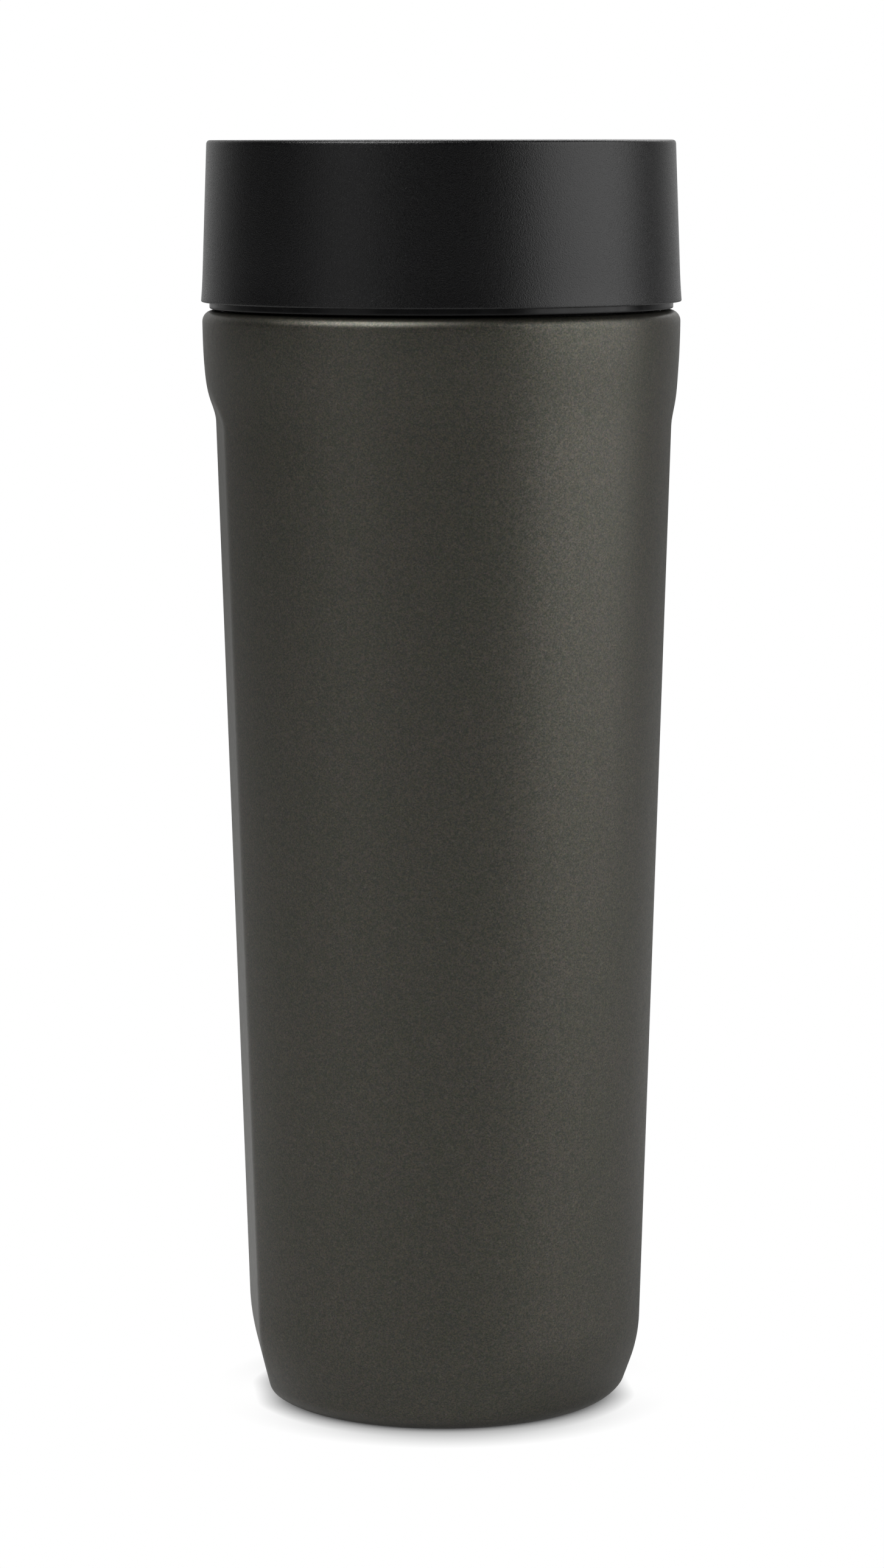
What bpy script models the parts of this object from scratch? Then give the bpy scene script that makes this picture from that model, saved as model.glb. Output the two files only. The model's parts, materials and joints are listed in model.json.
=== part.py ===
"""Insulated drinks tumbler with a screw-in 360-degree sip lid and a push-to-open valve.

Metres, +Z up. The origin is the centre of the foot, on the surface that the tumbler stands on.
The two grip flats face -X and +X. Lengths below are in millimetres and become metres through MM.
"""

from math import cos, degrees, hypot, pi, sin, sqrt, tan, atan2, radians

import bmesh
import bpy
from mathutils import Matrix

MM = 0.001

# Overall sizes
BODY_TOP = 190.8 * MM
COLLAR_R = 41.25 * MM
LID_HEIGHT = 27.6 * MM
WALL = 0.5 * MM
GAP = 0.3 * MM

# Round wall of the body, from the collar down to the foot
COLLAR_HEIGHT = 5.2 * MM
BARREL_DROP = 11.2 * MM
BARREL_TAPER = radians(3.73)
BODY_TAPER = radians(1.683)
CHAMFER_START = 11.7 * MM
CHAMFER_TAPER = radians(22.0)
BEND_HALF = 4.2 * MM
FOOT_CORNER = 3.3 * MM
FOOT_LIP = 2.6 * MM
SHOULDER_RADIUS = 1.9 * MM

# Grip flats, pressed into the wall on both sides
FLAT_DEPTH = 2.74 * MM
FLAT_DROP = 17.6 * MM
FLAT_TAPER = radians(1.85)
FLAT_CHAMFER_TAPER = radians(14.1)
RUNOUT_START = 7.1 * MM
RUNOUT_RADIUS = 23.9 * MM
RUNOUT_EASE = 3.0 * MM
FLAT_EDGE_BLEND = 0.4 * MM
CREASE_BLEND = 0.8 * MM

# Inner cup
NECK_INSET = 3.85 * MM
LEDGE_ROUND = 0.4 * MM
VACUUM_GAP = 2.9 * MM
CUP_FLOOR = 8.5 * MM
CUP_CORNER = 8.0 * MM

# Three-start thread between the neck and the lid
THREAD_STARTS = 3
THREAD_LEAD = 12.0 * MM
THREAD_DEPTH = 1.1 * MM
THREAD_CLEARANCE = 0.4 * MM
THREAD_ROOT_HALF = 0.75 * MM
THREAD_CREST_HALF = 0.35 * MM
THREAD_SUNK = 0.25 * MM
THREAD_STEPS = 17
THREAD_BELOW_RIM = 2.0 * MM
THREAD_ABOVE_GASKET = 0.9 * MM

# Base
DIMPLE_R = 4.0 * MM
DIMPLE_RISE = 1.2 * MM
BEAD_R = 2.6 * MM
BEAD_HEIGHT = 0.9 * MM
GETTER_PAN_R = 8.0 * MM
GETTER_PAN_HEIGHT = 2.4 * MM
PELLET_HEIGHT = 1.2 * MM

# Lid shell
SKIRT_OVERHANG = 0.2 * MM
SKIRT_GAP = 1.47 * MM
FLARE_HEIGHT = 4.5 * MM
FLARE = 0.13 * MM
LID_DRAFT = radians(2.05)
RIM_WIDTH = 2.6 * MM
RIM_EDGE = 0.6 * MM
RIM_INNER_EDGE = 1.2 * MM
LID_WALL = 2.0 * MM
FUNNEL_DEPTH = 19.0 * MM
SPIGOT_WALL = 1.8 * MM

# Lid plug
FLANGE_INSET = 1.25 * MM
FLANGE_THICKNESS = 2.9 * MM
PLUG_WALL = 2.0 * MM
SKIRT_CLEARANCE = 1.6 * MM
PLUG_BELOW_LEDGE = 3.5 * MM
SEAT_WIDTH = 6.0 * MM
SEAT_THICKNESS = 2.5 * MM
GASKET_HEIGHT = 1.9 * MM
GASKET_BEVEL = 0.6 * MM
SHELL_SEAL_ROOM = 1.4 * MM

# Hub that carries the push button
SPIDER_HEIGHT = 3.5 * MM
SPIDER_RING = 4.0 * MM
SPOKES = 3
SPOKE_WIDTH = 3.2 * MM
HUB_R = 11.5 * MM
HUB_WALL = 2.0 * MM
HUB_FLOOR = 2.7 * MM
HUB_HEIGHT = 30.2 * MM

# Push button, stem and valve
PRESS_TRAVEL = 5.0 * MM
BUTTON_R = 15.0 * MM
BUTTON_WALL = 2.0 * MM
BUTTON_SKIRT = 9.2 * MM
BUTTON_ROUND = 1.6 * MM
BUTTON_DISH = 0.7 * MM
BOSS_WALL = 2.2 * MM
STEM_R = 3.1 * MM
STEM_FLAT_END = 0.6 * MM
VALVE_FLANGE = 1.0 * MM
VALVE_RISE = 2.0 * MM
VALVE_SEAL_HEIGHT = 2.0 * MM
VALVE_SEAL_WIDTH = 2.6 * MM
SCREW_HEAD_R = 3.6 * MM
SCREW_HEAD_HEIGHT = 1.7 * MM
SCREW_R = 1.5 * MM
SCREW_REACH = 7.0 * MM
SCREW_SOCKET_R = 1.6 * MM
SCREW_SOCKET_DEPTH = 1.0 * MM
SEAL_SECTION = 1.4 * MM
WIPER_SECTION = 0.9 * MM

# Click mechanism
CAM_TEETH = 8
CAM_TOOTH = 1.2 * MM
ROTOR_HEIGHT = 4.0 * MM
SLEEVE_HEIGHT = 3.2 * MM
CAM_WALL = 3.0 * MM
SPRING_WIRE = 1.0 * MM
SPRING_TURNS = 5.5
SEAT_WASHER = 0.7 * MM

# Facets
SHELL_SEGMENTS = 48
CUP_SEGMENTS = 14 * THREAD_STARTS
RING_SEGMENTS = 32
SMALL_SEGMENTS = 24
SPRING_SEGMENTS = 12
ARC_STEPS = 4
LEAST_SPACING = 0.4 * MM

# Places that several pieces share
LID_TOP = BODY_TOP + SKIRT_GAP + LID_HEIGHT
SKIRT_BOTTOM = BODY_TOP + SKIRT_GAP
NECK_R = COLLAR_R - NECK_INSET
THREAD_RISE = THREAD_LEAD * THREAD_STEPS / CUP_SEGMENTS
NECK_THREAD_Z = BODY_TOP - THREAD_BELOW_RIM - THREAD_ROOT_HALF - THREAD_RISE
PLUG_THREAD_Z = NECK_THREAD_Z - THREAD_LEAD / THREAD_STARTS / 2
PLUG_THREAD_R = NECK_R - THREAD_DEPTH - THREAD_CLEARANCE
PLUG_SHOULDER = PLUG_THREAD_Z - THREAD_ROOT_HALF - THREAD_ABOVE_GASKET
LEDGE_Z = PLUG_SHOULDER - GASKET_HEIGHT - 2 * GAP
PLUG_BOTTOM = LEDGE_Z - PLUG_BELOW_LEDGE
SEAT_TOP = PLUG_BOTTOM + SEAT_THICKNESS
FLANGE_BOTTOM = BODY_TOP + GAP
FLANGE_TOP = FLANGE_BOTTOM + FLANGE_THICKNESS
FLANGE_R = COLLAR_R - FLANGE_INSET
SPIDER_BOTTOM = SEAT_TOP + GAP
SPIDER_TOP = SPIDER_BOTTOM + SPIDER_HEIGHT
HUB_FLOOR_TOP = SPIDER_BOTTOM + HUB_FLOOR
HUB_TOP = SPIDER_BOTTOM + HUB_HEIGHT
HUB_BORE = HUB_R - HUB_WALL
SPIGOT_BOTTOM = SPIDER_TOP + GAP
SLEEVE_VALLEY = HUB_TOP - SLEEVE_HEIGHT
ROTOR_TOP = SLEEVE_VALLEY - GAP
ROTOR_BOTTOM = ROTOR_TOP - ROTOR_HEIGHT
CAP_UNDERSIDE = HUB_TOP + PRESS_TRAVEL + 2 * GAP
CAP_TOP = CAP_UNDERSIDE + BUTTON_WALL
BOSS_BOTTOM = ROTOR_TOP + GAP
VALVE_SEAL_TOP = PLUG_BOTTOM - GAP
VALVE_FLANGE_TOP = VALVE_SEAL_TOP - VALVE_SEAL_HEIGHT - GAP
VALVE_BOTTOM = VALVE_FLANGE_TOP - VALVE_FLANGE
VALVE_CENTRE_TOP = VALVE_SEAL_TOP + VALVE_RISE
STEM_BOTTOM = VALVE_CENTRE_TOP + GAP
PLATE_BOTTOM = WALL + GAP
PLATE_TOP = PLATE_BOTTOM + WALL


def smooth_min(a, b, blend):
    share = max(blend - abs(a - b), 0.0) / blend
    return min(a, b) - share * share * blend / 4


def smooth_max(a, b, blend):
    return -smooth_min(-a, -b, blend)


def bend(height, line, corner, slope_below, slope_above):
    """What a parabolic bend adds to a straight line near a corner of the wall's profile."""
    if height >= corner + BEND_HALF:
        return line
    if height <= corner - BEND_HALF:
        return line + (slope_below - slope_above) * (height - corner)
    reach = corner + BEND_HALF - height
    return line - (slope_below - slope_above) * reach * reach / (4 * BEND_HALF)


def round_wall(z):
    """Radius of the round part of the body, before the foot's corner is rounded."""
    collar_end = BODY_TOP - COLLAR_HEIGHT
    barrel_end = collar_end - BARREL_DROP
    radius = bend(z, COLLAR_R, collar_end, tan(BARREL_TAPER), 0.0)
    change = tan(BODY_TAPER) - tan(BARREL_TAPER)
    radius += bend(z, 0.0, barrel_end, change, 0.0)
    change = tan(CHAMFER_TAPER) - tan(BODY_TAPER)
    return radius + bend(z, 0.0, CHAMFER_START, change, 0.0)


def straight_flat(z):
    """Distance of the grip flat from the axis, without its run-out under the collar."""
    crease = BODY_TOP - FLAT_DROP
    distance = COLLAR_R - FLAT_DEPTH + (z - crease) * tan(FLAT_TAPER)
    change = tan(FLAT_CHAMFER_TAPER) - tan(FLAT_TAPER)
    return distance + bend(z, 0.0, CHAMFER_START, change, 0.0)


def flat_wall(z):
    """Distance of the grip flat from the axis, with the arc that runs out under the collar."""
    below = BODY_TOP - RUNOUT_START - z
    if below <= 0:
        return COLLAR_R + FLAT_EDGE_BLEND
    if below >= RUNOUT_RADIUS:
        return straight_flat(z)
    run_out = COLLAR_R - RUNOUT_RADIUS + sqrt(RUNOUT_RADIUS**2 - below**2)
    run_out += FLAT_EDGE_BLEND * max(1 - below / RUNOUT_EASE, 0.0) ** 2
    return smooth_max(run_out, straight_flat(z), CREASE_BLEND)


def flat_sink(angle, z):
    """How far the grip flat lies inside the round wall, at this angle and height."""
    across = abs(cos(angle))
    full = round_wall(z)
    if across * full <= flat_wall(z) - FLAT_EDGE_BLEND:
        return 0.0
    return full - smooth_min(full, flat_wall(z) / across, FLAT_EDGE_BLEND)


def foot_rounding(z):
    if z >= FOOT_CORNER:
        return 0.0
    return FOOT_CORNER - sqrt(FOOT_CORNER**2 - (FOOT_CORNER - z) ** 2)


def arc(centre_r, centre_z, radius, start, end, steps=ARC_STEPS):
    """Points of an arc, from one angle to another, in degrees from +R towards +Z."""
    turn = [radians(start + (end - start) * i / steps) for i in range(steps + 1)]
    return [(centre_r + radius * cos(a), centre_z + radius * sin(a)) for a in turn]


def levels(low, high, steps):
    return [low + (high - low) * i / steps for i in range(steps + 1)]


def spaced(heights):
    """The heights in order, without any that lies too close above the one before it."""
    kept = []
    for height in sorted(heights):
        if not kept or height - kept[-1] > LEAST_SPACING:
            kept.append(height)
    return kept


def material(name, colour, roughness, metallic):
    made = bpy.data.materials.new(name)
    made.use_nodes = True
    shader = made.node_tree.nodes["Principled BSDF"]
    shader.inputs["Base Color"].default_value = (*colour, 1.0)
    shader.inputs["Roughness"].default_value = roughness
    shader.inputs["Metallic"].default_value = metallic
    made.diffuse_color = (*colour, 1.0)
    return made


PAINT = ("olive_graphite_paint", (0.068, 0.064, 0.053), 0.38, 0.75)
STEEL = ("stainless_steel", (0.62, 0.61, 0.59), 0.32, 1.0)
BRIGHT_STEEL = ("spring_steel", (0.66, 0.66, 0.65), 0.22, 1.0)
BLACK_MATTE = ("matte_black_plastic", (0.016, 0.016, 0.017), 0.55, 0.0)
BLACK_GLOSS = ("gloss_black_plastic", (0.012, 0.012, 0.013), 0.16, 0.0)
GREY_PLASTIC = ("grey_plastic", (0.16, 0.16, 0.165), 0.42, 0.0)
WHITE_PLASTIC = ("white_acetal", (0.78, 0.78, 0.76), 0.35, 0.0)
SILICONE = ("grey_silicone", (0.10, 0.10, 0.105), 0.62, 0.0)
GLASS_SOLDER = ("sealing_glass", (0.22, 0.25, 0.24), 0.12, 0.0)
SINTERED = ("getter_alloy", (0.13, 0.13, 0.14), 0.75, 0.4)


def finished(name, mesh_builder, look, body=None):
    """Turns a bmesh into a smooth-shaded object with its own material."""
    bmesh.ops.recalc_face_normals(mesh_builder, faces=mesh_builder.faces)
    mesh = bpy.data.meshes.new(name)
    mesh_builder.to_mesh(mesh)
    mesh_builder.free()
    mesh.shade_smooth()
    mesh.set_sharp_from_angle(angle=radians(28))
    made = bpy.data.objects.new(name, mesh)
    bpy.context.scene.collection.objects.link(made)
    mesh.materials.append(material(f"{name}_{look[0]}", *look[1:]))
    if body is not None:
        made.parent = body
    return made


def spun(profile, segments):
    """A closed outline of (radius, height) points, spun once round the Z axis."""
    work = bmesh.new()
    points = [work.verts.new((r, 0.0, z)) for r, z in profile]
    edges = [work.edges.new((points[i - 1], points[i])) for i in range(len(points))]
    on_axis = [e for e in edges if all(v.co.x < GAP / 100 for v in e.verts)]
    bmesh.ops.delete(work, geom=on_axis, context="EDGES")
    turning = work.verts[:] + work.edges[:]
    bmesh.ops.spin(
        work,
        geom=turning,
        axis=(0, 0, 1),
        cent=(0, 0, 0),
        angle=2 * pi,
        steps=segments,
        use_merge=True,
    )
    bmesh.ops.remove_doubles(work, verts=work.verts, dist=GAP / 100)
    return work


def turned(name, profile, segments, look, body=None):
    return finished(name, spun(profile, segments), look, body)


def o_ring(name, centre_r, centre_z, section, segments, body):
    profile = arc(centre_r, centre_z, section / 2, 0, 300, 5)
    return turned(name, profile, segments, SILICONE, body)


def block(low, high):
    work = bmesh.new()
    bmesh.ops.create_cube(work, size=1.0)
    for vertex in work.verts:
        for axis in range(3):
            vertex.co[axis] = high[axis] if vertex.co[axis] > 0 else low[axis]
    return work


def as_cutter(made):
    made.hide_render = True
    made.display_type = "WIRE"
    return made


def boolean(made, tool, operation):
    modifier = made.modifiers.new(f"{operation.lower()}_{tool.name}", "BOOLEAN")
    modifier.operation = operation
    modifier.solver = "EXACT"
    modifier.object = tool


def thread_tool(name, wall_r, outward, low_z, look, body=None):
    """Helical ridges that stand out of a wall; outward is 1 on a plug and -1 in a neck."""
    work = bmesh.new()
    step = 2 * pi / CUP_SEGMENTS
    for start in range(THREAD_STARTS):
        first = start * CUP_SEGMENTS // THREAD_STARTS + 0.5
        rings = []
        for i in range(THREAD_STEPS + 1):
            angle = (first + i) * step
            height = low_z + THREAD_RISE * i / THREAD_STEPS
            at_end = i in (0, THREAD_STEPS)
            rise = -THREAD_SUNK / 2 if at_end else THREAD_DEPTH
            section = (
                (wall_r - outward * THREAD_SUNK, height - THREAD_ROOT_HALF),
                (wall_r - outward * THREAD_SUNK, height + THREAD_ROOT_HALF),
                (wall_r + outward * rise, height + THREAD_CREST_HALF),
                (wall_r + outward * rise, height - THREAD_CREST_HALF),
            )
            rings.append([work.verts.new((r * cos(angle), r * sin(angle), z)) for r, z in section])
        for ring, following in zip(rings, rings[1:]):
            for i in range(4):
                j = (i + 1) % 4
                work.faces.new((ring[i], ring[j], following[j], following[i]))
        work.faces.new(rings[0])
        work.faces.new(rings[-1])
    return as_cutter(finished(name, work, look, body))


def outer_shell():
    collar_end = BODY_TOP - COLLAR_HEIGHT
    barrel_end = collar_end - BARREL_DROP
    crease = BODY_TOP - FLAT_DROP
    corner = [FOOT_CORNER * (1 - cos(radians(a))) for a in (0, 30, 60)]
    heights = levels(CHAMFER_START - BEND_HALF, CHAMFER_START + BEND_HALF, 3)
    heights += levels(crease - 3 * CREASE_BLEND, crease + 2 * CREASE_BLEND, 4)
    heights += levels(barrel_end + BEND_HALF / 2, BODY_TOP - RUNOUT_START, 3)
    heights = spaced([FOOT_CORNER, *heights, BODY_TOP - SHOULDER_RADIUS])
    outer = [(round_wall(z) - foot_rounding(z), z) for z in corner + heights]
    shoulder = arc(COLLAR_R - SHOULDER_RADIUS, BODY_TOP - SHOULDER_RADIUS, SHOULDER_RADIUS, 22.5, 90, 3)
    lip_r = NECK_R + WALL + GAP
    lip = [(lip_r, BODY_TOP), (lip_r, BODY_TOP - WALL), (COLLAR_R - SHOULDER_RADIUS, BODY_TOP - WALL)]
    under = [(round_wall(z) - WALL, z) for z in reversed(heights)]
    foot_top = [(round_wall(z) - foot_rounding(z) - WALL, z) for z in (2 * WALL, WALL)]
    foot = [(foot_inner_r(), WALL), (foot_inner_r(), 0.0)]
    work = spun(outer + shoulder + lip + under + foot_top + foot, SHELL_SEGMENTS)
    press_flats(work)
    return finished("outer_shell", work, PAINT)


def foot_inner_r():
    return straight_flat(0.0) - FOOT_CORNER - FOOT_LIP


def press_flats(work):
    """Moves the wall's points inwards where the grip flats are pressed."""
    for vertex in work.verts:
        radius = hypot(vertex.co.x, vertex.co.y)
        if radius < foot_inner_r() + GAP:
            continue
        angle = atan2(vertex.co.y, vertex.co.x)
        scale = 1 - flat_sink(angle, vertex.co.z) / radius
        vertex.co.x *= scale
        vertex.co.y *= scale


def cup_radius(z):
    return straight_flat(z) - 2 * WALL - VACUUM_GAP


def inner_liner():
    ledge_r = cup_radius(LEDGE_Z)
    corner_z = CUP_FLOOR + CUP_CORNER
    low_r = cup_radius(CHAMFER_START + BEND_HALF)
    inside = [(0.0, CUP_FLOOR)]
    inside += arc(low_r - CUP_CORNER, corner_z, CUP_CORNER, -90, 0, 3)
    inside += [(ledge_r, LEDGE_Z - LEDGE_ROUND)]
    inside += [(ledge_r + LEDGE_ROUND, LEDGE_Z), (NECK_R, LEDGE_Z), (NECK_R, BODY_TOP)]
    under = LEDGE_Z - WALL
    outside = [(NECK_R + WALL, BODY_TOP), (NECK_R + WALL, under)]
    outside += [(ledge_r + LEDGE_ROUND + WALL, under), (ledge_r + WALL, under - LEDGE_ROUND)]
    outside += arc(low_r - CUP_CORNER, corner_z, CUP_CORNER + WALL, 0, -90, 3)
    outside += [(0.0, CUP_FLOOR - WALL)]
    made = turned("inner_liner", inside + outside, CUP_SEGMENTS, STEEL)
    ridges = thread_tool("neck_thread_tool", NECK_R, -1, NECK_THREAD_Z, STEEL)
    boolean(made, ridges, "UNION")
    return made


def base_plate():
    plate_r = foot_inner_r() + FOOT_LIP - GAP
    inner = DIMPLE_R - DIMPLE_RISE
    bottom = [(0.0, PLATE_BOTTOM + DIMPLE_RISE), (inner, PLATE_BOTTOM + DIMPLE_RISE)]
    bottom += [(DIMPLE_R, PLATE_BOTTOM), (plate_r, PLATE_BOTTOM)]
    top = [(plate_r, PLATE_TOP), (DIMPLE_R + WALL, PLATE_TOP)]
    top += [(inner + WALL, PLATE_TOP + DIMPLE_RISE), (0.0, PLATE_TOP + DIMPLE_RISE)]
    return turned("base_plate", bottom + top, RING_SEGMENTS, STEEL)


def vacuum_seal():
    top = PLATE_BOTTOM + DIMPLE_RISE - GAP
    radius = min(BEAD_R, DIMPLE_R - DIMPLE_RISE - GAP)
    profile = [(0.0, top), (0.0, top - BEAD_HEIGHT), (radius * 0.7, top - BEAD_HEIGHT * 0.75)]
    profile += [(radius, top - BEAD_HEIGHT * 0.25), (radius, top)]
    return turned("vacuum_seal", profile, SMALL_SEGMENTS, GLASS_SOLDER)


def getter():
    low = PLATE_TOP + DIMPLE_RISE + GAP
    high = low + GETTER_PAN_HEIGHT
    bore = GETTER_PAN_R - WALL
    pan = [(0.0, low), (GETTER_PAN_R, low), (GETTER_PAN_R, high)]
    pan += [(bore, high), (bore, low + WALL), (0.0, low + WALL)]
    turned("getter_pan", pan, SMALL_SEGMENTS, STEEL)
    bottom = low + WALL + GAP
    top = bottom + PELLET_HEIGHT
    pellet = [(0.0, bottom), (bore - GAP, bottom), (bore - GAP, top), (0.0, top)]
    turned("getter_pellet", pellet, SMALL_SEGMENTS, SINTERED)


def skirt_radius(z):
    """Outer radius of the lid, which narrows upwards and flares a little at its lower edge."""
    radius = COLLAR_R + SKIRT_OVERHANG - FLARE - (z - SKIRT_BOTTOM) * tan(LID_DRAFT)
    above = (z - SKIRT_BOTTOM) / FLARE_HEIGHT
    return radius + FLARE * max(1 - above, 0.0) ** 2


def plug_skirt_r():
    return cup_radius(LEDGE_Z) - SKIRT_CLEARANCE


def plug_bore_r():
    return plug_skirt_r() - PLUG_WALL


def spigot_r():
    return plug_bore_r() - SHELL_SEAL_ROOM - GAP


def lid_shell(lid):
    bore = spigot_r() - SPIGOT_WALL
    rim_z = LID_TOP - RIM_EDGE
    rim_r = skirt_radius(rim_z) - RIM_EDGE
    lip_r = skirt_radius(LID_TOP) - RIM_WIDTH
    funnel_z = LID_TOP - FUNNEL_DEPTH
    outside = [(skirt_radius(z), z) for z in levels(SKIRT_BOTTOM, SKIRT_BOTTOM + FLARE_HEIGHT, 2)]
    outside += arc(rim_r, rim_z, RIM_EDGE, 0, 90, 3)
    outside += arc(lip_r + RIM_INNER_EDGE / 2, LID_TOP - RIM_INNER_EDGE, RIM_INNER_EDGE, 90, 160, 2)
    inside = [(bore + LID_WALL / 2, funnel_z + LID_WALL), (bore, funnel_z), (bore, SPIGOT_BOTTOM)]
    under = [(spigot_r(), SPIGOT_BOTTOM), (spigot_r(), funnel_z), (lip_r, LID_TOP - 3 * LID_WALL)]
    step_z = FLANGE_TOP + GAP
    wall_r = FLANGE_R - PLUG_WALL / 2
    under += [(skirt_radius(LID_TOP) - LID_WALL + RIM_EDGE, LID_TOP - 3.5 * LID_WALL)]
    under += [(wall_r, step_z), (FLANGE_R + GAP, step_z), (FLANGE_R + GAP, SKIRT_BOTTOM)]
    return turned("lid_shell", outside + inside + under, SHELL_SEGMENTS, BLACK_MATTE, lid)


def lid_plug(lid):
    bore = plug_bore_r()
    seat = bore - SEAT_WIDTH
    outside = [(seat, PLUG_BOTTOM), (plug_skirt_r(), PLUG_BOTTOM), (plug_skirt_r(), PLUG_SHOULDER)]
    outside += [(PLUG_THREAD_R, PLUG_SHOULDER), (PLUG_THREAD_R, FLANGE_BOTTOM)]
    outside += [(FLANGE_R, FLANGE_BOTTOM), (FLANGE_R, FLANGE_TOP)]
    inside = [(bore, FLANGE_TOP), (bore, SEAT_TOP), (seat, SEAT_TOP)]
    made = turned("lid_plug", outside + inside, CUP_SEGMENTS, BLACK_GLOSS, lid)
    ridges = thread_tool("plug_thread_tool", PLUG_THREAD_R, 1, PLUG_THREAD_Z, BLACK_GLOSS, lid)
    boolean(made, ridges, "UNION")
    return made


def lid_gasket(carrier):
    inner = plug_skirt_r() + GAP
    low = LEDGE_Z + GAP
    high = low + GASKET_HEIGHT
    profile = [(inner, low), (PLUG_THREAD_R, low), (PLUG_THREAD_R, high - GASKET_BEVEL)]
    profile += [(PLUG_THREAD_R - GASKET_BEVEL, high), (inner, high)]
    return turned("lid_gasket", profile, CUP_SEGMENTS, SILICONE, carrier)


def shell_seal(lid):
    centre = (spigot_r() + plug_bore_r()) / 2
    height = (SPIGOT_BOTTOM + FLANGE_TOP) / 2
    return o_ring("shell_seal", centre, height, SHELL_SEAL_ROOM - GAP, RING_SEGMENTS, lid)


def hub_spider(lid):
    """Ring on the valve seat, spokes across the drinking passage, and the button's guide tube."""
    stem_hole = STEM_R + GAP
    tube = [(stem_hole, SPIDER_BOTTOM), (HUB_R, SPIDER_BOTTOM), (HUB_R, HUB_TOP), (HUB_BORE, HUB_TOP)]
    tube += [(HUB_BORE, HUB_FLOOR_TOP), (stem_hole, HUB_FLOOR_TOP)]
    made = turned("hub_spider", tube, RING_SEGMENTS, GREY_PLASTIC, lid)
    outer = plug_bore_r() - GAP
    inner = outer - SPIDER_RING
    ring = [(inner, SPIDER_BOTTOM), (outer, SPIDER_BOTTOM), (outer, SPIDER_TOP), (inner, SPIDER_TOP)]
    boolean(made, as_cutter(turned("spider_ring_tool", ring, CUP_SEGMENTS, GREY_PLASTIC, lid)), "UNION")
    for i in range(SPOKES):
        start = HUB_R - HUB_WALL / 2
        end = inner + SPIDER_RING / 2
        half = SPOKE_WIDTH / 2
        spoke = block((start, -half, SPIDER_BOTTOM), (end, half, SPIDER_TOP - GAP))
        spoke.transform(Matrix.Rotation(2 * pi * i / SPOKES, 4, "Z"))
        boolean(made, as_cutter(finished(f"spoke_tool_{i + 1}", spoke, GREY_PLASTIC, lid)), "UNION")
    return made


def crown(name, inner, outer, flat_z, tooth_z, look, body):
    """A ring with one flat end and one end of pointed cam teeth that reach tooth_z."""
    segments = 4 * CAM_TEETH
    toward = 1 if tooth_z > flat_z else -1
    profile = [(inner, flat_z), (outer, flat_z), (outer, tooth_z), (inner, tooth_z)]
    work = spun(profile, segments)
    for vertex in work.verts:
        if abs(vertex.co.z - tooth_z) > GAP / 10:
            continue
        position = degrees(atan2(vertex.co.y, vertex.co.x)) * CAM_TEETH / 360
        from_tip = abs(position - round(position)) * 2
        if toward < 0:
            from_tip = 1 - from_tip
        vertex.co.z -= toward * CAM_TOOTH * from_tip
    return finished(name, work, look, body)


def cam_sleeve(lid):
    outer = HUB_BORE - GAP
    tip = SLEEVE_VALLEY - CAM_TOOTH
    return crown("cam_sleeve", outer - CAM_WALL + GAP, outer, HUB_TOP, tip, WHITE_PLASTIC, lid)


def cam_rotor(rotor):
    outer = HUB_BORE - GAP
    inner = STEM_R + GAP
    return crown("cam_rotor", inner, outer, ROTOR_BOTTOM, ROTOR_TOP, WHITE_PLASTIC, rotor)


def button_cap(plunger):
    bore = BUTTON_R - BUTTON_WALL
    boss_r = STEM_R + GAP + BOSS_WALL
    skirt_z = CAP_TOP - BUTTON_SKIRT
    top = [(0.0, CAP_TOP - BUTTON_DISH), (BUTTON_R - 3 * BUTTON_ROUND, CAP_TOP - BUTTON_DISH / 3)]
    top += arc(BUTTON_R - BUTTON_ROUND, CAP_TOP - BUTTON_ROUND, BUTTON_ROUND, 90, 0, 3)
    under = [(BUTTON_R, skirt_z), (bore, skirt_z), (bore, CAP_UNDERSIDE), (boss_r, CAP_UNDERSIDE)]
    under += [(boss_r, BOSS_BOTTOM), (STEM_R + GAP, BOSS_BOTTOM)]
    under += [(STEM_R + GAP, CAP_UNDERSIDE), (0.0, CAP_UNDERSIDE)]
    return turned("button_cap", top + under, RING_SEGMENTS, BLACK_MATTE, plunger)


def valve_stem(plunger):
    top = CAP_UNDERSIDE - GAP
    bore = SCREW_R + GAP
    bore_top = STEM_BOTTOM + SCREW_REACH
    profile = [(bore, STEM_BOTTOM), (STEM_R, STEM_BOTTOM), (STEM_R, top - STEM_FLAT_END)]
    profile += [(STEM_R - STEM_FLAT_END, top), (0.0, top), (0.0, bore_top), (bore, bore_top)]
    return turned("valve_stem", profile, SMALL_SEGMENTS, GREY_PLASTIC, plunger)


def valve_disc(plunger):
    seat = plug_bore_r() - SEAT_WIDTH
    seal_inner = seat + GAP
    flange_r = seal_inner + GAP + VALVE_SEAL_WIDTH
    bore = SCREW_R + GAP
    profile = [(bore, VALVE_BOTTOM), (flange_r, VALVE_BOTTOM), (flange_r, VALVE_FLANGE_TOP)]
    profile += [(seal_inner, VALVE_FLANGE_TOP), (seal_inner, VALVE_SEAL_TOP - GAP)]
    profile += [(seat - SEAL_SECTION, VALVE_SEAL_TOP), (2 * STEM_R, VALVE_CENTRE_TOP)]
    profile += [(bore, VALVE_CENTRE_TOP)]
    return turned("valve_disc", profile, RING_SEGMENTS, GREY_PLASTIC, plunger)


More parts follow.
